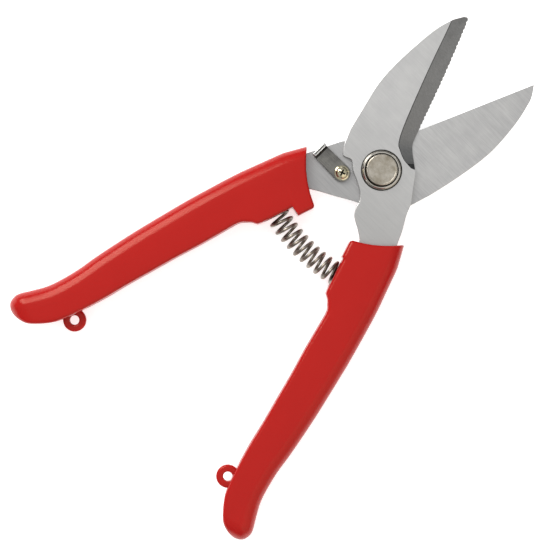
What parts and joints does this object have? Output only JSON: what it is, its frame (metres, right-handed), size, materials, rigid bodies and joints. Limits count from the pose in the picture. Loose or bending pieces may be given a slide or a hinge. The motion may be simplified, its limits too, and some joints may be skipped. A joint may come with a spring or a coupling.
{
  "type": "pruning shears",
  "caption": "Hand pruning shears with crossed ground blades on one pivot bolt, moulded grips with lanyard loops, a coil return spring and a swinging latch.",
  "frame": {"origin": "on the pivot axis at the flat back end of the pivot bolt, in the plane that the shears lie on", "axes": "+Z along the pivot bolt towards its head, +Y midway between the open blade tips, +X towards the front lever's grip"},
  "size_m": [0.1118, 0.1779, 0.0127],
  "materials": {
    "blade_steel": "satin stainless steel, ground edge",
    "red_plastic": "glossy moulded red plastic",
    "pivot_steel": "flat turned head, slightly stained",
    "bright_steel": "bright plated",
    "latch_steel": "dark pressed steel",
    "zinc": "yellowish zinc plate",
    "spring_steel": "dark drawn wire"
  },
  "bodies": {
    "rear_lever": {"rear_lever": "blade_steel", "rear_grip": "red_plastic", "pivot_bolt": "pivot_steel", "pivot_front_washer": "bright_steel", "pivot_back_washer": "bright_steel", "pivot_nut": "bright_steel", "latch_screw": "zinc", "latch_washer": "latch_steel", "return_spring": "spring_steel"},
    "front_lever": {"front_lever": "blade_steel", "front_grip": "red_plastic"},
    "latch": {"latch": "latch_steel"}
  },
  "joints": [
    {"name": "lever_pivot", "type": "hinge", "parent": "rear_lever", "child": "front_lever", "pos_m": [0, 0, 0], "axis": [0, 0, -1], "range_deg": [0, 36], "stiffness_Nm_per_rad": 0.8, "deforming": ["return_spring"]},
    {"name": "latch_swing", "type": "hinge", "parent": "rear_lever", "child": "latch", "pos_m": [-0.00862, -0.01003, 0], "axis": [0, 0, -1], "range_deg": [0, 63]}
  ],
  "couplings": [
    {"joint": "latch_swing", "follows": "lever_pivot", "ratio": 1.75}
  ]
}
